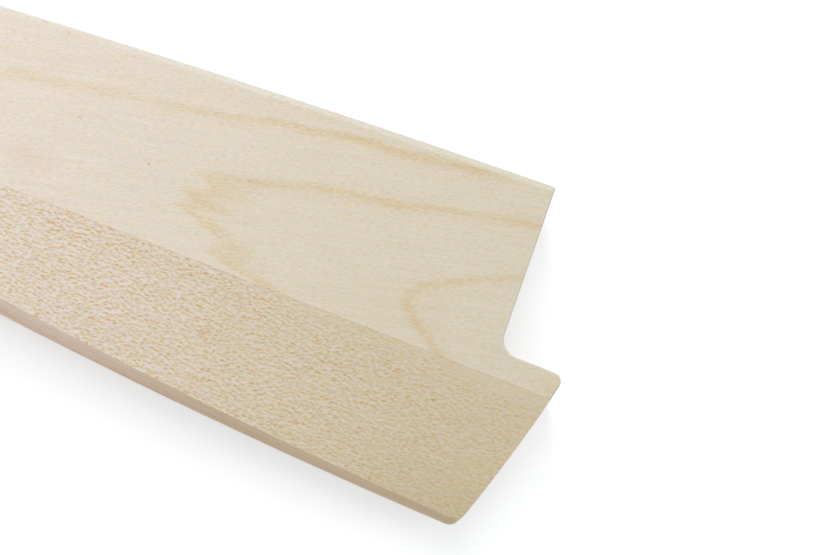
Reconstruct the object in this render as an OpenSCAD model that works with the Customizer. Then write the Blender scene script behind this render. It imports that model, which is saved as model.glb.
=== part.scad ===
// Wooden blade guard for a chef's knife, held on the blade by magnets.
// Two maple faces, each glued up from a plain board and a flecked board, close on
// two rails whose thickness leaves the slot for the blade. The slot is open at the
// mouth and along the heel cover, and closed along the spine, the tip and the edge.
// Drawing coordinates: x = 0 is the mouth edge, +x points to the handle, y = 0 is the
// spine corner and z = 0 is the back face. The part is then moved to its own frame.

/* [Outline] */
// Length from the mouth edge to the tip of the guard
guard_l = 204; // [190:1:228]
// Height at the heel, from the spine corner down to the heel corner
heel_h = 58.2; // [55:0.1:64]
// Slope of the spine at the mouth, in degrees
spine_slope = 2.55; // [2:0.05:3]
// Slope of the cutting-edge side at the heel, in degrees
edge_slope = 2.3; // [1.8:0.1:3]
// Radius of the rounded tip
tip_r = 6.5; // [6:0.1:7.5]
// Drop from the spine corner to the middle of the rounded tip
tip_drop = 23.8; // [22:0.1:26]

/* [Mouth] */
// Drop of the mouth edge, from the spine corner to the step
notch_h = 29.9; // [26:0.1:32]
// Reach of the heel cover past the mouth edge
cover_l = 11.8; // [9:0.1:16]
// Reach of the heel corner past the mouth edge
heel_l = 3.5; // [1:0.1:7]
// Radius of the end's shallow outward curve
end_r = 280; // [150:10:800]
// Radius in the inner corner of the notch
notch_r = 3; // [1:0.1:6]
// Radius of the heel cover's upper corner
cover_r = 1.5; // [0.5:0.1:2.5]
// Radius of the heel corner
heel_r = 1.8; // [0.5:0.1:3]
// Radius of the spine corner
spine_corner_r = 0.4; // [0.3:0.1:2]

/* [Layers] */
// Thickness of each maple face
face_t = 4.5; // [4:0.1:6]
// Thickness of the slot, which is that of the rails
slot_t = 3; // [2.4:0.1:3.6]
// Width of the rails, the wood between the slot and the outside
rail_w = 5.2; // [4:0.1:5.7]
// Distance from the spine corner down to the glue line between the two boards
glue_line_y = 34.4; // [33:0.1:38]

/* [Edge bevel] */
// Depth that the bevel takes off each face at the heel corner
bevel_d = 3.3; // [1.5:0.1:3.6]
// Distance from the mouth edge at which the bevel has run out
bevel_l = 160; // [140:1:190]

/* [Magnets] */
// Diameter of a disc magnet
magnet_d = 10; // [6:0.5:12]
// Thickness of a disc magnet
magnet_t = 2; // [1:0.1:2.5]
// Broken edge of a disc magnet
magnet_edge = 0.25; // [0.1:0.05:0.4]
// Gap all round a magnet in its bore, filled with glue
magnet_gap = 0.1; // [0.05:0.05:0.3]
// Depth of a magnet's face below the wall of the slot
magnet_recess = 0.3; // [0.1:0.1:0.8]
// Distance from the spine to the middle of a magnet
magnet_drop = 17; // [14:0.5:20]
// Distance from the mouth edge to the heel magnets
heel_magnet_x = 26; // [15:1:50]
// Distance from the mouth edge to the tip magnets
tip_magnet_x = 118; // [80:1:130]

/* [Hidden] */

guard_t = 2 * face_t + slot_t;
past = 5;              // how far a cutting shape runs past the wood
spine_steps = 24;      // straight pieces in the spine's curve
edge_steps = 32;       // straight pieces in the cutting-edge side's curve
tip_steps = 20;        // straight pieces round the tip
end_steps = 6;         // straight pieces in the end's shallow curve
corner_steps = 8;      // straight pieces in a rounded corner
bevel_steps = 24;      // strips along the bevel
plain_maple = "#ddd3c0";
flecked_maple = "#d6c7b0";
rail_maple = "#c7b8a2";
nickel = "#c9cbcf";

// Point on a circle
function on_circle(middle, r, a) = middle + r * [cos(a), sin(a)];

// Points along a circle from angle a to angle b
function arc(middle, r, a, b, steps) =
    [for (i = [0 : steps]) on_circle(middle, r, a + (b - a) * i / steps)];

// Radius of the circle that leaves a point with the given inward direction and touches
// the rounded tip from outside
function side_r(point, inward) =
    let (to_tip = point - tip_mid)
    (tip_r * tip_r - to_tip * to_tip) / (2 * (inward * to_tip + tip_r));

// The rounded tip, and the two curved sides that run into it
tip_mid = [tip_r - guard_l, -tip_drop];
spine_corner = [0, 0];
spine_a = 90 + spine_slope;
spine_in = on_circle([0, 0], 1, spine_a + 180);
spine_r = side_r(spine_corner, spine_in);
spine_mid = spine_corner + spine_r * spine_in;
spine_end_a = atan2(tip_mid.y - spine_mid.y, tip_mid.x - spine_mid.x);
heel = [heel_l, -heel_h];
edge_a = 270 - edge_slope;
edge_in = on_circle([0, 0], 1, edge_a - 180);
edge_r = side_r(heel, edge_in);
edge_mid = heel + edge_r * edge_in;
edge_end_a = 360 + atan2(tip_mid.y - edge_mid.y, tip_mid.x - edge_mid.x);

// The end below the step, a shallow curve from the heel corner to the cover's corner
cover = [cover_l, -notch_h];
end_chord = cover - heel;
end_half = norm(end_chord) / 2;
end_out = [end_chord.y, -end_chord.x] / norm(end_chord);
end_mid = (heel + cover) / 2 - sqrt(end_r * end_r - end_half * end_half) * end_out;
end_turn = asin(end_half / end_r);
end_a = atan2(end_out.y, end_out.x);

// The sides and the tip at a distance inside the outline, from the mouth or the spine on
function spine_side(inside, from_a) =
    arc(spine_mid, spine_r - inside, from_a, spine_end_a, spine_steps);
function edge_side(inside, from_a) =
    arc(edge_mid, edge_r - inside, from_a, edge_end_a, edge_steps);
function tip_side(inside) =
    arc(tip_mid, tip_r - inside, spine_end_a, edge_end_a, tip_steps);

// A list without its first point, without both ends, or turned round
function tail(points) = [for (i = [1 : len(points) - 1]) points[i]];
function inner(points) = [for (i = [1 : len(points) - 2]) points[i]];
function turned(points) = [for (i = [len(points) - 1 : -1 : 0]) points[i]];

// Arc of radius r in the corner at b, on the way from a to c
function corner(a, b, c, r) =
    let (
        to_a = (a - b) / norm(a - b),
        to_c = (c - b) / norm(c - b),
        half = acos(to_a * to_c) / 2,
        bisector = (to_a + to_c) / norm(to_a + to_c),
        middle = b + r / sin(half) * bisector,
        start = b + r / tan(half) * to_a - middle,
        stop = b + r / tan(half) * to_c - middle,
        from = atan2(start.y, start.x),
        turn = atan2(stop.y, stop.x) - from,
        short = turn > 180 ? turn - 360 : turn < -180 ? turn + 360 : turn
    )
    arc(middle, r, from, from + short, corner_steps);

end_curve = arc(end_mid, end_r, end_a - end_turn, end_a + end_turn, end_steps);
spine_curve = spine_side(0, spine_a);
edge_curve = edge_side(0, edge_a);
notch = [0, -notch_h];

// Outline of the guard, anticlockwise from the heel corner
outline = concat(
    corner(edge_curve[1], heel, end_curve[1], heel_r),
    inner(end_curve),
    corner(end_curve[end_steps - 1], cover, notch, cover_r),
    corner(cover, notch, spine_corner, notch_r),
    corner(notch, spine_corner, spine_curve[1], spine_corner_r),
    tail(spine_curve),
    tail(tip_side(0)),
    tail(turned(tail(edge_curve)))
);

// Space for the blade: the outline less the rails, run on past the open end
spine_past_a = spine_a - (cover_l + past) / spine_r * 180 / PI;
edge_past_a = edge_a + (cover_l + past) / edge_r * 180 / PI;
blade_space = concat(
    spine_side(rail_w, spine_past_a),
    tail(tip_side(rail_w)),
    tail(turned(edge_side(rail_w, edge_past_a)))
);

// Half of the drawing: all above the line y = at when side is 1, below it when -1
module half_plane(at, side) {
    reach = guard_l + heel_h;
    translate([-guard_l / 2, at + side * reach / 2])
        square([2 * reach, reach], center = true);
}

// The bevel's slope in the cross-section at x, which falls to nothing at its run-out
function bevel_slope(x) = bevel_d / (heel_h - glue_line_y) * (1 + x / bevel_l);

// Wood that the bevel takes off a face, whose outer side lies at z = face_t
module bevel_cut() {
    wide = heel_h - glue_line_y + past;
    first = cover_l + past;
    section = [
        for (i = [0 : bevel_steps])
            let (x = first - (first + bevel_l) * i / bevel_steps)
            each [
                [x, -glue_line_y, face_t],
                [x, -glue_line_y - wide, face_t - bevel_slope(x) * wide],
                [x, -glue_line_y - wide, face_t + past],
                [x, -glue_line_y, face_t + past]
            ]
    ];
    last = 4 * bevel_steps;
    polyhedron(
        points = section,
        faces = concat(
            [[0, 1, 2, 3], [last + 3, last + 2, last + 1, last]],
            [
                for (i = [0 : bevel_steps - 1], j = [0 : 3])
                    let (a = 4 * i + j, b = 4 * i + (j + 1) % 4)
                    each [[a, a + 4, b], [b, a + 4, b + 4]]
            ]
        )
    );
}

// Places a magnet or its bore, by the distance from the mouth edge
module at_magnet(x) {
    a = spine_a + asin(x / spine_r);
    middle = on_circle(spine_mid, spine_r - magnet_drop, a);
    translate([middle.x, middle.y, 0])
        children();
}

module magnet_bore() {
    depth = magnet_t + magnet_recess;
    translate([0, 0, -past])
        cylinder(r = magnet_d / 2 + magnet_gap, h = past + depth, $fn = 64);
}

// Disc magnet with broken edges, seated on the bottom of its bore
module magnet() {
    r = magnet_d / 2;
    translate([0, 0, magnet_recess])
        rotate_extrude($fn = 64)
            polygon([
                [0, 0], [r - magnet_edge, 0], [r, magnet_edge],
                [r, magnet_t - magnet_edge], [r - magnet_edge, magnet_t], [0, magnet_t]
            ]);
}

// A face's two boards, drawn with the slot side at z = 0 and the outer side at face_t
module spine_board() {
    difference() {
        linear_extrude(face_t)
            intersection() {
                polygon(outline);
                half_plane(-glue_line_y, 1);
            }
        at_magnet(heel_magnet_x) magnet_bore();
        at_magnet(tip_magnet_x) magnet_bore();
    }
}

module edge_board() {
    difference() {
        linear_extrude(face_t)
            intersection() {
                polygon(outline);
                half_plane(-glue_line_y, -1);
            }
        bevel_cut();
    }
}

// A rail: the wood round the blade space on one side of the joint at the tip
module rail(side) {
    linear_extrude(slot_t)
        difference() {
            intersection() {
                polygon(outline);
                half_plane(tip_mid.y, side);
            }
            polygon(blade_space);
        }
}

// The part's frame: its origin on the back face, midway along the guard and its heel
module in_frame() {
    translate([guard_l / 2, heel_h / 2, 0])
        children();
}

// Places for what belongs to the front face, the rails and the back face
module front() {
    in_frame() translate([0, 0, face_t + slot_t]) children();
}

module core() {
    in_frame() translate([0, 0, face_t]) children();
}

module back() {
    in_frame() translate([0, 0, face_t]) mirror([0, 0, 1]) children();
}

module front_spine_board() { color(plain_maple) front() spine_board(); }
module front_edge_board() { color(flecked_maple) front() edge_board(); }
module spine_rail() { color(rail_maple) core() rail(1); }
module edge_rail() { color(rail_maple) core() rail(-1); }
module back_spine_board() { color(plain_maple) back() spine_board(); }
module back_edge_board() { color(flecked_maple) back() edge_board(); }
module front_heel_magnet() { color(nickel) front() at_magnet(heel_magnet_x) magnet(); }
module front_tip_magnet() { color(nickel) front() at_magnet(tip_magnet_x) magnet(); }
module back_heel_magnet() { color(nickel) back() at_magnet(heel_magnet_x) magnet(); }
module back_tip_magnet() { color(nickel) back() at_magnet(tip_magnet_x) magnet(); }

front_spine_board();
front_edge_board();
spine_rail();
edge_rail();
back_spine_board();
back_edge_board();
front_heel_magnet();
front_tip_magnet();
back_heel_magnet();
back_tip_magnet();
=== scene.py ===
"""Looks of a wooden blade guard: planed and eased maple boards, rails and hidden magnets."""

import math

import bpy
from mathutils import Matrix, Vector


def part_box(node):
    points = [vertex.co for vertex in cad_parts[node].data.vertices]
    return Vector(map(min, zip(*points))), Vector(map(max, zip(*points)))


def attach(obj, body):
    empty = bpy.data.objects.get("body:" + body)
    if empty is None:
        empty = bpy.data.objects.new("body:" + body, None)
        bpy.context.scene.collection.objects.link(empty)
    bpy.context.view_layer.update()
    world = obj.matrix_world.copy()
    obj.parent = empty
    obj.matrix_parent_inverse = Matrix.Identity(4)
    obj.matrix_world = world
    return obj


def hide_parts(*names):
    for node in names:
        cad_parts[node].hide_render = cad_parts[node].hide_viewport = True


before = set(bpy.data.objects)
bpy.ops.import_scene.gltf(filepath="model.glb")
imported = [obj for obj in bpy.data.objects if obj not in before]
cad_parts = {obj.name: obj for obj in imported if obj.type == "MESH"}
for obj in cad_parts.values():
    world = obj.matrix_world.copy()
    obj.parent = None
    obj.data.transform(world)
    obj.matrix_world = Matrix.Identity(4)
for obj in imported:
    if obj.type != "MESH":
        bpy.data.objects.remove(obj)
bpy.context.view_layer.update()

MM = 0.001

# The places that the growth figures are drawn from, in millimetres. The figures' own x is 0 at
# the mouth edge and their y is 0 at the spine corner, and the glue line lies below that corner.
LOW, HIGH = (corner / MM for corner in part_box("front_spine_board"))
GLUE_LINE = LOW.y
MOUTH_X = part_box("spine_rail")[1].x / MM
SPINE_Y = HIGH.y
FACE_Z = HIGH.z
GLUE_DROP = SPINE_Y - GLUE_LINE

# How far the edges are eased by hand, and the steps of that small round
EASE = 0.45
EASE_STEPS = 3
# Points of a node's mesh that lie closer than this are merged, in millimetres. Then the degrees
# by which its triangles may turn and still be one flat side, or be shaded as one curve.
MERGE = 0.002
FLAT_ANGLE = 0.1
SMOOTH_ANGLE = 38
# What counts as a board's outer face and as a wall: how much of its normal points up or down.
# A glue wall lies that close to the glue line, in millimetres, and faces so straight across.
OUTER_FACE, WALL_FACE = 0.9, 0.3
GLUE_REACH, GLUE_FACING = 0.05, 0.99


class Signal:
    """A value in a finish, on which sums can be written."""

    def __init__(self, finish, socket):
        self.finish, self.socket = finish, socket

    def maths(self, operation, *values):
        settings = {"operation": operation}
        return self.finish.add("ShaderNodeMath", settings, dict(enumerate(values)))

    def also(self, output):
        """Another output of the node that this value comes from."""
        return Signal(self.finish, self.socket.node.outputs[output])

    def __add__(self, other):
        return self.maths("ADD", self, other)

    def __radd__(self, other):
        return self.maths("ADD", other, self)

    def __sub__(self, other):
        return self.maths("SUBTRACT", self, other)

    def __rsub__(self, other):
        return self.maths("SUBTRACT", other, self)

    def __mul__(self, other):
        return self.maths("MULTIPLY", self, other)

    def __rmul__(self, other):
        return self.maths("MULTIPLY", other, self)

    def __truediv__(self, other):
        return self.maths("DIVIDE", self, other)

    def __abs__(self):
        return self.maths("ABSOLUTE", self)

    def __neg__(self):
        return self.maths("MULTIPLY", self, -1)

    def root(self):
        return self.maths("SQRT", self)

    def most(self, other):
        return self.maths("MAXIMUM", self, other)

    def rise(self, start, stop):
        """0 before start and 1 after stop, with a smooth way between them."""
        inputs = {"Value": self, "From Min": start, "From Max": stop}
        return self.finish.add("ShaderNodeMapRange", {"interpolation_type": "SMOOTHSTEP"}, inputs)

    def band(self, before, after):
        """1 at 0, and 0 further than before below it or than after above it."""
        return self.rise(-before, 0) * (1 - self.rise(0, after))


class Finish:
    """A material in the making."""

    def __init__(self, name):
        self.material = bpy.data.materials.new(name)
        self.material.use_nodes = True
        self.nodes = self.material.node_tree.nodes
        self.links = self.material.node_tree.links
        self.shader = self.nodes["Principled BSDF"]

    def add(self, kind, settings=None, inputs=None, output=0):
        """A new node's output. The node's settings are made first, then its sockets are fed."""
        node = self.nodes.new(kind)
        for key, value in (settings or {}).items():
            setattr(node, key, value)
        for key, value in (inputs or {}).items():
            self.feed(node.inputs[key], value)
        return Signal(self, node.outputs[output])

    def feed(self, socket, value):
        if isinstance(value, Signal):
            self.links.new(value.socket, socket)
        else:
            socket.default_value = value

    def drawing(self, turn=0.0):
        """Object coordinates in millimetres of the drawing, turned by some degrees."""
        place = self.add("ShaderNodeTexCoord", output="Object")
        corner = (-MOUTH_X, -SPINE_Y, 0)
        inputs = {"Vector": place, "Location": corner, "Scale": (1 / MM,) * 3}
        moved = self.add("ShaderNodeMapping", {}, inputs)
        if not turn:
            return moved
        inputs = {"Vector": moved, "Rotation": (0, 0, math.radians(turn))}
        return self.add("ShaderNodeMapping", {}, inputs)

    def facing(self):
        """How far the surface faces along, across and up the guard, each from -1 to 1."""
        return self.parts(self.add("ShaderNodeTexCoord", output="Normal"))

    def parts(self, vector):
        """The three parts of a vector, as values."""
        split = self.nodes.new("ShaderNodeSeparateXYZ")
        self.feed(split.inputs[0], vector)
        return [Signal(self, socket) for socket in split.outputs]

    def vector(self, x, y, z):
        return self.add("ShaderNodeCombineXYZ", {}, {"X": x, "Y": y, "Z": z})

    def stretched(self, place, cell):
        """Coordinates in which a cell of that many millimetres is one unit."""
        inputs = {0: place, 1: [1 / size for size in cell]}
        return self.add("ShaderNodeVectorMath", {"operation": "MULTIPLY"}, inputs)

    def noise(self, place, cell, detail=2.0, roughness=0.5, bend=0.0):
        """Noise of that grain size about 0, mostly between -1 and 1."""
        inputs = {"Vector": self.stretched(place, cell), "Scale": 1.0, "Detail": detail,
                  "Roughness": roughness, "Distortion": bend}
        return (self.add("ShaderNodeTexNoise", {}, inputs) - 0.5) * 3

    def mix(self, share, first, second, how="MIX"):
        """A colour between two others."""
        inputs = {0: share, 6: first, 7: second}
        settings = {"data_type": "RGBA", "blend_type": how, "clamp_factor": True}
        return self.add("ShaderNodeMix", settings, inputs, 2)

    def tint(self, colour, share, by):
        """The colour multiplied by another, for a share of its strength."""
        return self.mix(share, colour, by, "MULTIPLY")

    def finish(self, colour, roughness, height, relief):
        """Feeds the shader: its colour, its roughness and a relief of that many millimetres."""
        self.feed(self.shader.inputs["Base Color"], colour)
        self.feed(self.shader.inputs["Roughness"], roughness)
        inputs = {"Height": height, "Distance": relief * MM, "Strength": 1.0}
        self.feed(self.shader.inputs["Normal"], self.add("ShaderNodeBump", {}, inputs))
        return self.material


def rgb(red, green, blue):
    """A colour written as on a screen, 0 to 255, as the renderer's linear one."""
    def linear(level):
        level = level / 255
        return level / 12.92 if level <= 0.04045 else ((level + 0.055) / 1.055) ** 2.4
    return (linear(red), linear(green), linear(blue), 1.0)


def scale(red, green, blue):
    """A tint that multiplies a colour."""
    return (red, green, blue, 1.0)


# The tones of the bare wood at the tip and at the mouth, whose darkening towards the mouth is
# partly the wood's own hue and partly painted shade where the light fades, and of the nickel,
# bright and dull
PLAIN_TONES = rgb(238, 226, 212), rgb(220, 210, 188)
FLECKED_FRONT_TONES = rgb(235, 224, 213), rgb(211, 197, 168)
FLECKED_BACK_TONES = rgb(229, 214, 195), rgb(221, 206, 181)
RAIL_TONES = rgb(231, 217, 201), rgb(215, 201, 174)
NICKEL_TONES = rgb(206, 205, 202), rgb(176, 172, 164)
# The tone of the flecked wood beside the glue line near the mouth
JOINING_TONE = rgb(221, 210, 188)
# Tints of the marks in the wood
LATE_WOOD = scale(0.945, 0.825, 0.62)
PORE = scale(0.84, 0.76, 0.66)
PLAIN_PIN = scale(0.78, 0.64, 0.48)
FLECKED_PIN = scale(0.72, 0.73, 0.76)
FLECK = scale(0.875, 0.63, 0.325)
WEB = scale(1.12, 1.15, 1.28)
SEAM = scale(0.88, 0.8, 0.72)
# Tints of the edges and corners: a darker, yellower tone towards the heel corner, painted
# highlights on the strip beside the spine and on the rounded edges, and painted shade on the
# rounded edges that face the mouth and on the flecked boards' rounded edges
HEEL = scale(0.915, 0.895, 0.835)
SPINE_HIGHLIGHT = scale(1.08, 1.14, 1.24)
EDGE_HIGHLIGHT = scale(1.09, 1.16, 1.18)
EDGE_SHADE = scale(0.8, 0.83, 0.85)
FLECKED_EDGE_SHADE = scale(0.93, 0.89, 0.86)

# The growth rings that show as lines on a face, each with the middle of its figure at the
# mouth, that middle's slope along the guard, the ring's size at the mouth, its taper towards
# the tip, its hollow, and its line's strength and width. Lengths are in millimetres.
FRONT_RINGS = [
    (-40.3, -0.12, 39.9, 0.243, 0.00056, 0.82, 0.88),
    (-27.6, -0.06, 20.6, 0.253, 0.00056, 0.74, 1.2),
    (-28.0, -0.05, 12.2, 0.48, 0.0, 0.68, 0.95),
    (-41.0, -0.12, 44.0, 0.243, 0.00056, 0.16, 1.5),
]
BACK_RINGS = [
    (-14.5, 0.05, 33.0, 0.25, 0.0003, 0.6, 1.0),
    (-14.5, 0.05, 24.0, 0.28, 0.0003, 0.9, 1.1),
    (-15.5, 0.05, 16.5, 0.33, 0.0, 0.7, 0.9),
    (-15.0, 0.03, 9.0, 0.38, 0.0, 0.5, 0.8),
]
# How far the stem's middle lies below a face, in millimetres
PITH_DEPTH = 4.0
# How far a line reaches on its soft side and on its sharp side, as shares of its width. Then the
# faint halo round it: its reach on the two sides, in millimetres, and its strength.
SOFT_SIDE, SHARP_SIDE = 1.3, 0.75
HALO_SOFT, HALO_SHARP, HALO = 3.4, 1.8, 0.3
# How the point of the longest figure wanders: the height of each wave, how far it reaches
# below and above that height, and how far it pushes the line towards the mouth
POINT_WAVES = [(-19.4, 0.9, 0.7, -0.6), (-22.2, 2.4, 1.8, 1.6), (-25.3, 1.7, 2.5, 1.5),
               (-28.0, 1.4, 1.2, 0.8), (-29.4, 2.2, 1.0, 1.0), (-33.0, 1.2, 2.6, -1.5)]
# How the line nearest the spine and the next one wander: the place of each wave along the
# guard, how far it reaches towards the tip and the mouth, and how far it pushes the line down
TOP_WAVES = [(-89.0, 6.0, 6.0, -0.4), (-64.0, 7.0, 6.0, 0.5), (-55.0, 5.0, 5.0, 0.35),
             (-47.0, 4.0, 7.0, -0.5), (-33.0, 10.0, 6.0, -0.6)]
NEXT_WAVES = [(-38.0, 8.0, 10.0, -0.6), (-25.0, 5.0, 9.0, 0.3)]
# Where the long figure's point and its broader line are: the two places between which each
# comes in, towards the tip from the mouth and down from the spine, and how much broader it is
POINT_BEYOND, POINT_UNDER = (37, 43), (17.5, 19)
BROAD_BEYOND, BROAD_UNDER, BROADER = (36, 46), (17.5, 21), 0.45
# The strip of the line nearest the spine: its slope, the heights between which it comes in at
# the mouth, and how much broader the line is in it. The next line's strip lies under it, down
# to the other two heights.
TOP_LEAN, TOP_ABOVE, TOP_BROADER = 0.16, (-8, -5), 0.35
NEXT_ABOVE = (-21, -19)
# Where the lines fade, and how much: in the corner between the mouth and the spine, in the long
# figure's point, in the top strip towards the tip and in the next strip towards the mouth
CORNER_AHEAD, CORNER_ABOVE, CORNER_FADE = (-16, -5), (-5.5, -3), 0.8
POINT_FADE = 0.12
TOP_BEYOND, TOP_FADE = (44, 56), 0.42
NEXT_AHEAD, NEXT_FADE = (-20, -6), 0.35
# The spine's curve on a face: its slope at the mouth, and its bow for each square millimetre
SPINE_SLOPE, SPINE_BOW = 0.0445, 0.00022
# A small knot that the front face just grazes, a tan stain at the heel cover's corner and a
# broad warm patch over the glue line: the middle of each, how far it reaches along and across,
# and its tint
CLOUDS = [
    (-82.0, -28.5, 5.5, 2.6, scale(0.95, 0.88, 0.82)),
    (10.3, -32.6, 4.0, 1.9, scale(0.97, 0.9, 0.74)),
    (-20.0, -31.0, 27.0, 10.0, scale(0.97, 0.965, 0.93)),
]
# Pin knots in the two front boards: the place and the size of each
PLAIN_PINS = [(-83.9, -6.3, 0.18), (-77.1, -19.1, 0.17), (-64.0, -22.2, 0.22)]
FLECKED_PINS = [(-7.4, -41.5, 0.32)]
# The two sizes of ray flecks: the cell that holds one, its length and thickness, and the
# degrees by which its row and the fleck itself are turned
LARGE_FLECKS = ((0.98, 0.84, 0.84), 0.95, 0.3, 12, 18)
SMALL_FLECKS = ((0.86, 0.56, 0.56), 0.6, 0.22, 8, 12)


def fibres(maple, place):
    """Fine fibres along the grain, about 0."""
    fine = maple.noise(place, (0.95, 0.2, 0.2), 2.0, 0.6)
    broad = maple.noise(place, (9.0, 0.7, 0.7), 2.0, 0.55, 0.4)
    return fine * 0.9 + broad * 0.3


def shimmer(maple, colour, grain, strength):
    """The fibres drawn into a colour, some darker and some lighter than it."""
    colour = maple.tint(colour, grain * strength, scale(0.80, 0.765, 0.70))
    return maple.tint(colour, grain * -strength, scale(1.15, 1.16, 1.18))


def mottle(maple, place, colour, cell, strength):
    """Small changes of the wood's own hue, some pinker, greener, bluer or yellower."""
    warm = maple.noise(place, cell, 2.0) * strength
    pale = maple.noise(place, [size * 1.7 for size in cell], 2.0, 0.5, 0.3) * strength
    colour = maple.tint(colour, warm, scale(1.04, 0.985, 1.0))
    colour = maple.tint(colour, -warm, scale(0.965, 1.01, 0.98))
    colour = maple.tint(colour, pale, scale(1.0, 1.0, 0.91))
    return maple.tint(colour, -pale, scale(1.0, 1.005, 1.08))


def tone_and_falloff(maple, place, tones):
    """A slow change of colour from the tip to the mouth: partly the wood's own hue, partly
    painted shade where the light fades towards the mouth.
    """
    x = maple.parts(place)[0]
    patches = maple.noise(place, (40.0, 14.0, 14.0), 2.0)
    return maple.mix((x + patches * 9).rise(-120, 15), *tones)


def end_grain(maple):
    """1 on the sawn ends of the boards, 0 on their faces and long edges."""
    return abs(maple.facing()[0]).rise(0.75, 0.95)


def upright(maple):
    """1 on every wall, the ends among them, and 0 on the faces."""
    return 1 - abs(maple.facing()[2]).rise(0.25, 0.8)


def sides(maple, place):
    """Where a board's eased edges, its sawn ends and its long walls are, each 0 to 1."""
    eased = maple.add("ShaderNodeAttribute", {"attribute_name": "eased"}, output="Fac")
    rounded_edges = eased * (0.75 + 0.25 * maple.noise(place, (3.0, 3.0, 3.0)))
    ends = end_grain(maple) * (1 - rounded_edges)
    walls = upright(maple) * (1 - rounded_edges) * (1 - ends)
    return rounded_edges, ends, walls


def sawn(maple, place, colour, ends):
    """Darkens the sawn ends and gives them the fine bands and rays of end grain."""
    bands = maple.noise(place, (60.0, 7.0, 0.55), 2.0, 0.6, 0.3)
    rays = maple.noise(place, (60.0, 0.22, 1.6), 2.0, 0.6)
    pores = maple.noise(place, (0.5, 0.16, 0.16), 1.0).rise(0.5, 1.2)
    colour = maple.tint(colour, ends, scale(0.9, 0.85, 0.78))
    colour = maple.tint(colour, ends * (bands * 0.8), scale(0.88, 0.83, 0.76))
    colour = maple.tint(colour, ends * (rays * 0.7), scale(0.92, 0.88, 0.82))
    return maple.tint(colour, ends * pores * 0.6, scale(0.8, 0.74, 0.66))


def walling(maple, place, colour, walls):
    """Gives the long walls the lengthwise lines of edge grain, a pinker tone with painted light
    that lifts them out of shade, and painted shade that darkens them towards the mouth.
    """
    x = maple.parts(place)[0]
    streaks = maple.noise(place, (45.0, 2.4, 0.95), 2.0, 0.6, 0.2)
    thin = maple.noise(place, (22.0, 1.0, 0.3), 2.0)
    specks = maple.noise(place, (2.0, 0.34, 0.26), 2.0, 0.6)
    rays = maple.noise(place, (0.9, 0.07, 0.07), 1.0).rise(0.7, 1.3)
    # Pinker edge grain, and painted light that lifts the shaded walls
    colour = maple.tint(colour, walls, scale(1.1, 1.0, 0.97))
    # Painted shade: the walls darken towards the mouth, where the light fades
    colour = maple.tint(colour, walls * x.rise(-72, -38), scale(0.89, 0.875, 0.8))
    colour = maple.tint(colour, walls * x.rise(-25, 5), scale(0.905, 0.905, 0.905))
    colour = maple.tint(colour, walls * (streaks * 1.4), scale(0.79, 0.72, 0.65))
    colour = maple.tint(colour, walls * (thin * 1.4), scale(0.8, 0.74, 0.68))
    colour = maple.tint(colour, walls * specks, scale(0.88, 0.84, 0.8))
    return maple.tint(colour, walls * rays * 0.5, scale(0.85, 0.76, 0.66))


def wander(way, waves):
    """How far those waves push a line off its course at that place along its way."""
    total = 0
    for middle, before, after, push in waves:
        total = total + (way - middle).band(before, after) * push
    return total


def growth_lines(maple, place, along, rings, front):
    """The lines of the rings, 0 to about 1, as they cut through the whole board."""
    x, y, z = maple.parts(place)
    slow = maple.noise(place, (30.0, 9.0, 9.0), 2.0, 0.5) * 0.25
    feather = maple.noise(along, (4.5, 0.5, 0.5), 3.0, 0.6) * 0.42
    hairs = maple.noise(along, (1.4, 0.2, 0.2), 2.0, 0.6) * 0.22
    uneven = slow + feather + hairs
    fade = 0.8 + 0.45 * maple.noise(place, (9.0, 3.0, 3.0), 2.0)
    broad = 1
    face = FACE_Z if front else 0
    depth = z - (face - PITH_DEPTH)
    if front:
        point = (-x).rise(*POINT_BEYOND) * (-y).rise(*POINT_UNDER)
        top = (y - x * TOP_LEAN).rise(*TOP_ABOVE)
        following = (1 - top) * y.rise(*NEXT_ABOVE)
        corner = x.rise(*CORNER_AHEAD) * y.rise(*CORNER_ABOVE)
        lower = (-x).rise(*BROAD_BEYOND) * (-y).rise(*BROAD_UNDER)
        broad = 1 + BROADER * lower + top * TOP_BROADER
        uneven = uneven + wander(y, POINT_WAVES) * point
        uneven = uneven + wander(x, TOP_WAVES) * top + wander(x, NEXT_WAVES) * following
        fade = fade * (1 - CORNER_FADE * corner) * (1 - POINT_FADE * point)
        fade = fade * (1 - TOP_FADE * top * (-x).rise(*TOP_BEYOND))
        fade = fade * (1 - NEXT_FADE * following * x.rise(*NEXT_AHEAD))
    lines = None
    for middle, lean, size, taper, hollow, strength, width in rings:
        sideways = y - (x * lean + middle)
        reach = x * taper + size - x * x * hollow
        ring = (sideways * sideways + depth * depth).root() + uneven - reach
        line = ring.band(broad * (width * SOFT_SIDE), broad * (width * SHARP_SIDE))
        here = (line + ring.band(HALO_SOFT, HALO_SHARP) * HALO) * strength
        lines = here if lines is None else lines.most(here)
    return lines * fade


def clouds(maple, place, colour):
    """Draws the knot, the stain and the warm patch faintly into the front face's colour."""
    x, y, z = maple.parts(place)
    for middle, height, along, across, tint in CLOUDS:
        dx, dy = (x - middle) / along, (y - height) / across
        away = (dx * dx + dy * dy).root() + maple.noise(place, (3.0, 1.6, 1.6), 3.0) * 0.3
        colour = maple.tint(colour, (1 - away.rise(0.1, 1.1)) * z.rise(6, 12) * 0.7, tint)
    return colour


def pins(maple, place, spots):
    """Tiny dark pin knots at those places of the front face."""
    x, y, z = maple.parts(place)
    marks = None
    for across, up, size in spots:
        dx, dy = (x - across) * 0.6, y - up
        here = 1 - (dx * dx + dy * dy).root().rise(size * 0.4, size)
        marks = here if marks is None else marks.most(here)
    return marks * z.rise(6, 9)


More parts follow.
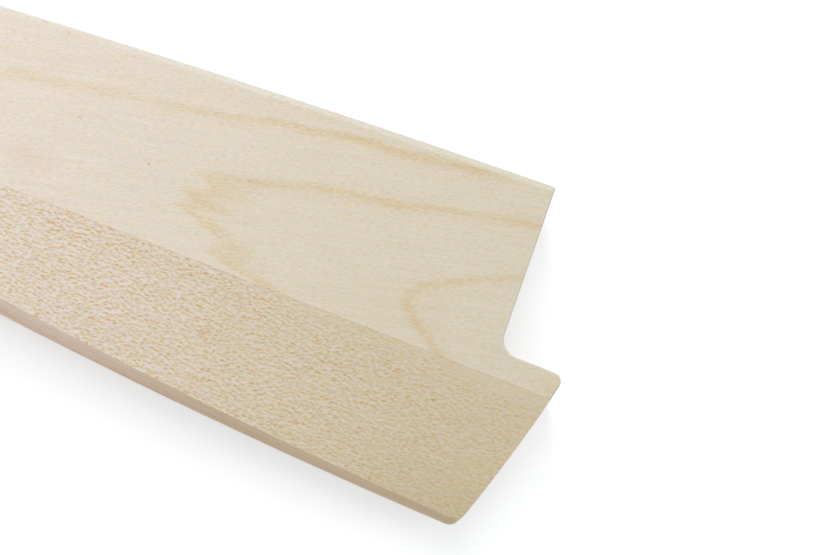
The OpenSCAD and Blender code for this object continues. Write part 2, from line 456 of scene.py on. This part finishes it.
def spine_highlight(maple, place):
    """1 on the strip of the front face beside the spine, where a paler painted highlight lies
    along the rounded edge.
    """
    x, y, z = maple.parts(place)
    inside = x * SPINE_SLOPE - x * x * SPINE_BOW - y
    return (1 - inside.rise(0.75, 1.35)) * (0.3 + 0.7 * x.rise(-85, -45)) * z.rise(9, 11)


def plain_maple(name, rings, front):
    """Flat-sawn maple: pale and even, with a few faint tan growth lines."""
    maple = Finish(name)
    place = maple.drawing()
    along = maple.drawing(turn=-14)
    grain = fibres(maple, along)
    rounded_edges, ends, walls = sides(maple, place)
    lines = growth_lines(maple, place, along, rings, front)
    pores = maple.noise(along, (0.9, 0.13, 0.13), 1.0).rise(0.8, 1.3)
    colour = tone_and_falloff(maple, place, PLAIN_TONES)
    colour = maple.tint(colour, lines * (0.95 + 0.7 * grain), LATE_WOOD)
    colour = shimmer(maple, colour, grain, 0.78)
    colour = mottle(maple, along, colour, (1.3, 0.7, 0.7), 1.0)
    colour = maple.tint(colour, pores * 0.6, PORE)
    if front:
        colour = clouds(maple, place, colour)
        colour = maple.tint(colour, pins(maple, place, PLAIN_PINS), PLAIN_PIN)
    colour = walling(maple, place, colour, walls)
    colour = sawn(maple, place, colour, ends)
    if front:
        # Painted highlight along the rounded spine edge
        colour = maple.tint(colour, spine_highlight(maple, place) * (1 - rounded_edges), SPINE_HIGHLIGHT)
    # Painted highlight on the rounded edges, and painted shade on those that face the mouth
    mouth_side = maple.facing()[0].rise(0.15, 0.5)
    colour = maple.tint(colour, rounded_edges * (1 - mouth_side) * 0.9, EDGE_HIGHLIGHT)
    colour = maple.tint(colour, rounded_edges * mouth_side, EDGE_SHADE)
    roughness = 0.58 + grain * 0.05 + ends * 0.14 + pores * 0.1
    height = grain * 0.4 - pores * 0.6 - lines * 0.15
    return maple.finish(colour, roughness, height, 0.03)


def flecks(maple, cell, length, thick, turn, slant):
    """Rows of short dashes where the rays break the surface, and the web between them."""
    place = maple.drawing(turn=turn)
    bend = maple.noise(place, (3.0, 2.0, 2.0), 1.0)
    sway = maple.noise(place, (2.2, 3.0, 3.0), 1.0)
    x, y, z = maple.parts(place)
    bent = maple.stretched(maple.vector(x + bend * 0.3, y + sway * 0.4, z), cell)
    voronoi = {"Vector": bent, "Scale": 1.0, "Randomness": 0.75}
    middle = maple.add("ShaderNodeTexVoronoi", {}, voronoi, "Position")
    chance = maple.parts(middle.also("Color"))[0]
    away = maple.add("ShaderNodeVectorMath", {"operation": "SUBTRACT"}, {0: bent, 1: middle})
    dx, dy, dz = maple.parts(away)
    cosine, sine = math.cos(math.radians(slant)), math.sin(math.radians(slant))
    long_way = (dx * (cell[0] * cosine) + dy * (cell[1] * sine)) / (length / 2)
    short_way = (dy * (cell[1] * cosine) - dx * (cell[0] * sine)) / (thick / 2)
    deep_way = dz * 0.8
    far = (long_way * long_way + short_way * short_way + deep_way * deep_way).root()
    dashes = (1 - far.rise(0.45, 1.3)) * (0.45 + chance * 0.8)
    return dashes, far.rise(0.9, 2.0)


def flecked_maple(name, tones):
    """Maple cut across its rays: a dense pattern of short orange-brown flecks."""
    maple = Finish(name)
    place = maple.drawing()
    along = maple.drawing(turn=-9)
    rows = maple.drawing(turn=13)
    x, y = maple.parts(place)[:2]
    grain = fibres(maple, along)
    rounded_edges, ends, walls = sides(maple, place)
    flat = (1 - walls) * (1 - ends)
    from_line = -y - GLUE_DROP
    near_mouth = x.rise(-60, 5)

    # How strong the flecks are: less beside the glue line and towards the mouth
    patchy = 0.93 + 0.16 * maple.noise(place, (9.0, 5.0, 5.0), 2.0)
    inwards = from_line.rise(-0.6, 0.6) * (1 - near_mouth) + from_line.rise(0, 4) * near_mouth
    strength = patchy * (0.4 + 0.6 * inwards) * (1 - 0.3 * near_mouth) * flat
    strength = strength * (1 - 0.25 * x.rise(-14, 2))
    shade = (1 - from_line.rise(1.5, 6.5)) * (x + 68).band(18, 26)

    # The flecks themselves, and the paler wood that shows between them
    large, web = flecks(maple, *LARGE_FLECKS)
    small, gaps = flecks(maple, *SMALL_FLECKS)
    streaks = maple.noise(rows, (3.2, 0.55, 0.55), 2.0, 0.5, 0.3).rise(-0.7, 0.6)
    threads = maple.noise(rows, (1.7, 0.38, 0.38), 1.0, 0.5, 0.5)
    dashes = large.most(small * 0.75) * (0.5 + 0.6 * streaks) + threads.rise(0.2, 1.2) * 0.35
    dashes = dashes * strength * (1 + 0.3 * shade)
    glints = maple.noise(along, (0.8, 0.24, 0.24), 1.0).rise(0.0, 0.9)
    light = web * gaps * (0.45 + 0.55 * glints) * strength * (1 - 0.4 * shade)

    colour = tone_and_falloff(maple, place, tones)
    joining = (1 - from_line.rise(0, 5)) * x.rise(-30, 5) * flat
    colour = maple.mix(joining * 0.35, colour, JOINING_TONE)
    # Darker and yellower towards the heel corner
    heel = from_line.rise(12, 24) * x.rise(-25, 5) * flat
    colour = maple.tint(colour, heel, HEEL)
    colour = maple.tint(colour, dashes, FLECK)
    colour = maple.tint(colour, light, WEB)
    colour = shimmer(maple, colour, grain, 0.4)
    colour = mottle(maple, along, colour, (0.65, 0.38, 0.38), 2.7)
    broken = (0.3 + 0.35 * patchy * streaks) * (1 - 0.4 * near_mouth)
    colour = maple.tint(colour, (1 - from_line.rise(0.08, 0.32)) * broken * flat, SEAM)
    colour = maple.tint(colour, pins(maple, place, FLECKED_PINS), FLECKED_PIN)
    colour = walling(maple, place, colour, walls)
    colour = sawn(maple, place, colour, ends)
    # Painted shade on the flecked boards' rounded edges
    colour = maple.tint(colour, rounded_edges * 0.8, FLECKED_EDGE_SHADE)
    roughness = 0.6 + grain * 0.05 - dashes * 0.08 + ends * 0.12
    height = grain * 0.3 - dashes * 0.35 + light * 0.2
    return maple.finish(colour, roughness, height, 0.04)


def rail_maple():
    """The rails between the faces: edge grain on their walls, and sawn grain on their ends."""
    maple = Finish("rail_maple_edge_grain")
    place = maple.drawing()
    grain = fibres(maple, place)
    ends = end_grain(maple)
    colour = tone_and_falloff(maple, place, RAIL_TONES)
    colour = shimmer(maple, colour, grain, 0.4)
    colour = walling(maple, place, colour, upright(maple) * (1 - ends))
    colour = sawn(maple, place, colour, ends)
    roughness = 0.62 + grain * 0.05 + ends * 0.1
    return maple.finish(colour, roughness, grain * 0.4, 0.04)


def nickel():
    """Nickel plate on a sintered disc: bright, with a fine grain and a few dull marks."""
    plate = Finish("magnet_nickel")
    place = plate.drawing()
    grain = plate.noise(place, (0.25, 0.25, 0.25), 3.0, 0.6)
    marks = plate.noise(place, (2.4, 1.6, 2.0), 3.0, 0.6).rise(0.3, 1.1)
    scratches = plate.noise(plate.drawing(turn=33), (4.0, 0.06, 0.5), 1.0).rise(0.9, 1.4)
    colour = plate.mix(marks, *NICKEL_TONES)
    plate.shader.inputs["Metallic"].default_value = 1.0
    roughness = 0.24 + grain * 0.03 + marks * 0.14 + scratches * 0.15
    return plate.finish(colour, roughness, grain * 0.2 - scratches * 0.5, 0.01)


def pick(piece):
    """Makes the piece the only selected and active one."""
    bpy.ops.object.select_all(action="DESELECT")
    piece.select_set(True)
    bpy.context.view_layer.objects.active = piece


def merged_copy(node, name):
    """A closed copy of a board or rail, with its flat sides as single faces."""
    piece = bpy.data.objects.new(name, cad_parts[node].data.copy())
    bpy.context.scene.collection.objects.link(piece)
    piece.data.materials.clear()
    piece.data.attributes.new("eased", "FLOAT", "FACE")
    pick(piece)
    bpy.ops.mesh.customdata_custom_splitnormals_clear()
    bpy.ops.object.mode_set(mode="EDIT")
    bpy.ops.mesh.select_all(action="SELECT")
    bpy.ops.mesh.remove_doubles(threshold=MERGE * MM)
    bpy.ops.mesh.mark_sharp(clear=True)
    bpy.ops.mesh.dissolve_limited(angle_limit=math.radians(FLAT_ANGLE), delimit=set())
    bpy.ops.object.mode_set(mode="OBJECT")
    return piece


def is_glue_wall(face):
    """True for the straight side along which two boards are glued together."""
    at_line = abs(face.center.y / MM - GLUE_LINE) < GLUE_REACH
    return at_line and abs(face.normal.y) > GLUE_FACING


def outer_rim(mesh, side):
    """The edges between a board's outer face and the walls round the outline."""
    faces = {}
    for face in mesh.polygons:
        for key in face.edge_keys:
            faces.setdefault(key, []).append(face)
    rim = []
    for edge in mesh.edges:
        pair = faces.get(tuple(sorted(edge.vertices)), [])
        if len(pair) != 2:
            continue
        outer = [face for face in pair if face.normal.z * side > OUTER_FACE]
        walls = [face for face in pair if abs(face.normal.z) < WALL_FACE]
        if len(outer) == 1 and len(walls) == 1 and not is_glue_wall(walls[0]):
            rim.append(edge)
    return rim


def ease(piece, side):
    """Rounds the outer rim of a board over, as fine sandpaper does, and marks where."""
    pick(piece)
    bpy.ops.object.mode_set(mode="EDIT")
    bpy.ops.mesh.select_mode(type="EDGE")
    bpy.ops.mesh.select_all(action="DESELECT")
    bpy.ops.object.mode_set(mode="OBJECT")
    for edge in outer_rim(piece.data, side):
        edge.select = True
    bpy.ops.object.mode_set(mode="EDIT")
    bpy.ops.mesh.bevel(offset=EASE * MM, segments=EASE_STEPS, affect="EDGES", clamp_overlap=True)
    bpy.ops.mesh.select_mode(type="FACE")
    bpy.ops.object.mode_set(mode="OBJECT")
    rounded_edges = piece.data.attributes["eased"]
    for face in piece.data.polygons:
        rounded_edges.data[face.index].value = 1.0 if face.select else 0.0


def smooth(piece):
    """Shades the shallow curves smooth and keeps the flat faces flat."""
    pick(piece)
    bpy.ops.object.shade_smooth_by_angle(angle=math.radians(SMOOTH_ANGLE))
    weighted = piece.modifiers.new("flat_faces", "WEIGHTED_NORMAL")
    weighted.keep_sharp = True
    weighted.weight = 100
    bpy.ops.object.modifier_apply(modifier=weighted.name)


def dress(node, finish, side=0):
    """Puts a finished board or rail in the place of its plain node. The side is 1 for the
    front face, -1 for the back one, and 0 for a piece with no edges to ease."""
    piece = merged_copy(node, node + "_planed")
    if side:
        ease(piece, side)
    smooth(piece)
    piece.data.materials.append(finish)
    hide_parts(node)
    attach(piece, "root")


def boards():
    """Finishes the four boards of the two faces, and eases their outer edges."""
    front_plain = plain_maple("maple_front_plain", FRONT_RINGS, True)
    back_plain = plain_maple("maple_back_plain", BACK_RINGS, False)
    front_flecked = flecked_maple("maple_front_flecked", FLECKED_FRONT_TONES)
    back_flecked = flecked_maple("maple_back_flecked", FLECKED_BACK_TONES)
    dress("front_spine_board", front_plain, 1)
    dress("front_edge_board", front_flecked, 1)
    dress("back_spine_board", back_plain, -1)
    dress("back_edge_board", back_flecked, -1)


def rails():
    """Finishes the two rails that hold the faces apart."""
    edge_grain = rail_maple()
    for node in ("spine_rail", "edge_rail"):
        dress(node, edge_grain)


def magnets():
    """Finishes the four magnets on their own nodes."""
    plate = nickel()
    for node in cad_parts:
        if node.endswith("_magnet"):
            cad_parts[node].data.materials.clear()
            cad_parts[node].data.materials.append(plate)


# Camera: its place and the point that it looks at, in metres, its turn about its own line
# of sight, and its focal length on a film 36 mm wide
CAMERA_PLACE = Vector((0.0405, -0.1378, 0.4777))
CAMERA_AIM = Vector((0.0852, 0.0056, 0.012))
CAMERA_TURN = math.radians(37.99)
CAMERA_LENS = 129.65
FILM_WIDTH = 36


def look(place, aim):
    """The place and turn of a camera or lamp that points from one place at another."""
    return Matrix.Translation(place) @ (aim - place).to_track_quat("-Z", "Y").to_matrix().to_4x4()


def camera():
    """The photo's view: a long lens that looks down on the guard."""
    data = bpy.data.cameras.new("camera")
    data.lens = CAMERA_LENS
    data.sensor_width = FILM_WIDTH
    data.sensor_fit = "HORIZONTAL"
    eye = bpy.data.objects.new("camera", data)
    bpy.context.scene.collection.objects.link(eye)
    eye.matrix_world = look(CAMERA_PLACE, CAMERA_AIM) @ Matrix.Rotation(CAMERA_TURN, 4, "Z")
    bpy.context.scene.camera = eye


def seen(tree):
    """1 for what the camera sees straight on or in a mirror, 0 for light that bounces."""
    path = tree.nodes.new("ShaderNodeLightPath")
    total = path.outputs["Is Camera Ray"]
    for output in ("Is Glossy Ray", "Is Transmission Ray"):
        both = tree.nodes.new("ShaderNodeMath")
        both.operation = "MAXIMUM"
        tree.links.new(total, both.inputs[0])
        tree.links.new(path.outputs[output], both.inputs[1])
        total = both.outputs[0]
    return total


# The table: its size in metres and how far it lies under the guard, in millimetres, its colour
# for light that bounces and for the eye, and its own glow near the guard, which grows to a full
# white between two distances, in metres
TABLE_SIZE, TABLE_DROP = 6, 0.02
TABLE_BOUNCE = (0.8, 0.8, 0.8, 1.0)
TABLE_SEEN = (0.585, 0.61, 0.64, 1.0)
TABLE_GLOW = 0.54
WHITE_FROM, WHITE_TO = 0.16, 0.4


def floor():
    """A white table top that keeps the guard's soft shadow."""
    bpy.ops.object.select_all(action="DESELECT")
    bpy.ops.mesh.primitive_plane_add(size=TABLE_SIZE, location=(0, 0, -TABLE_DROP * MM))
    table = bpy.context.object
    table.name = "table_top"
    white = Finish("table_white")
    seen_part = Signal(white, seen(white.material.node_tree))
    white.feed(white.shader.inputs["Base Color"], white.mix(seen_part, TABLE_BOUNCE, TABLE_SEEN))
    white.shader.inputs["Roughness"].default_value = 0.9
    white.shader.inputs["Specular IOR Level"].default_value = 0.0
    place = white.add("ShaderNodeTexCoord", output="Object")
    away = white.add("ShaderNodeVectorMath", {"operation": "LENGTH"}, {0: place}, "Value")
    level = TABLE_GLOW + (1 - TABLE_GLOW) * away.rise(WHITE_FROM, WHITE_TO)
    glow = white.add("ShaderNodeEmission", {}, {"Strength": seen_part * level})
    lit = Signal(white, white.shader.outputs[0])
    both = white.add("ShaderNodeAddShader", {}, {0: lit, 1: glow})
    white.feed(white.nodes["Material Output"].inputs["Surface"], both)
    table.data.materials.append(white.material)


SKY = (0.97, 0.985, 1.0, 1.0)
SKY_STRENGTH = 0.44


def sky():
    """A pale sky that lights the guard softly, and a white backdrop for the eye."""
    world = bpy.data.worlds.new("studio")
    bpy.context.scene.world = world
    world.use_nodes = True
    tree = world.node_tree
    light = tree.nodes["Background"]
    light.inputs["Color"].default_value = SKY
    light.inputs["Strength"].default_value = SKY_STRENGTH
    backdrop = tree.nodes.new("ShaderNodeBackground")
    backdrop.inputs["Color"].default_value = (1, 1, 1, 1)
    backdrop.inputs["Strength"].default_value = 1.0
    both = tree.nodes.new("ShaderNodeMixShader")
    tree.links.new(seen(tree), both.inputs[0])
    tree.links.new(light.outputs[0], both.inputs[1])
    tree.links.new(backdrop.outputs[0], both.inputs[2])
    tree.links.new(both.outputs[0], tree.nodes["World Output"].inputs["Surface"])


# Where the lamps shine, the middle of the guard's mouth half. Then each lamp's name, place,
# width and depth, in metres, its power and its colour.
LAMP_AIM = Vector((0.05, 0, 0))
LAMPS = [
    ("window", (-0.1, 0.28, 0.47), (0.16, 0.6), 1.51, (1.0, 0.985, 0.965)),
    ("reflector", (0.0, -0.62, 0.34), (0.7, 0.7), 1.0, (1.0, 0.975, 0.96)),
    ("card", (0.6, 0.12, 0.22), (0.3, 0.3), 0.7, (1.0, 1.0, 0.97)),
]


def lamp(name, place, size, power, colour):
    """A soft lamp of that width and depth, which shines at the guard's mouth half."""
    data = bpy.data.lights.new(name, "AREA")
    data.shape = "RECTANGLE"
    data.size, data.size_y = size
    data.energy = power
    data.color = colour
    soft_box = bpy.data.objects.new(name, data)
    bpy.context.scene.collection.objects.link(soft_box)
    soft_box.matrix_world = look(Vector(place), LAMP_AIM)


boards()
rails()
magnets()
camera()
floor()
sky()
for settings in LAMPS:
    lamp(*settings)
bpy.context.scene.view_settings.view_transform = "Standard"
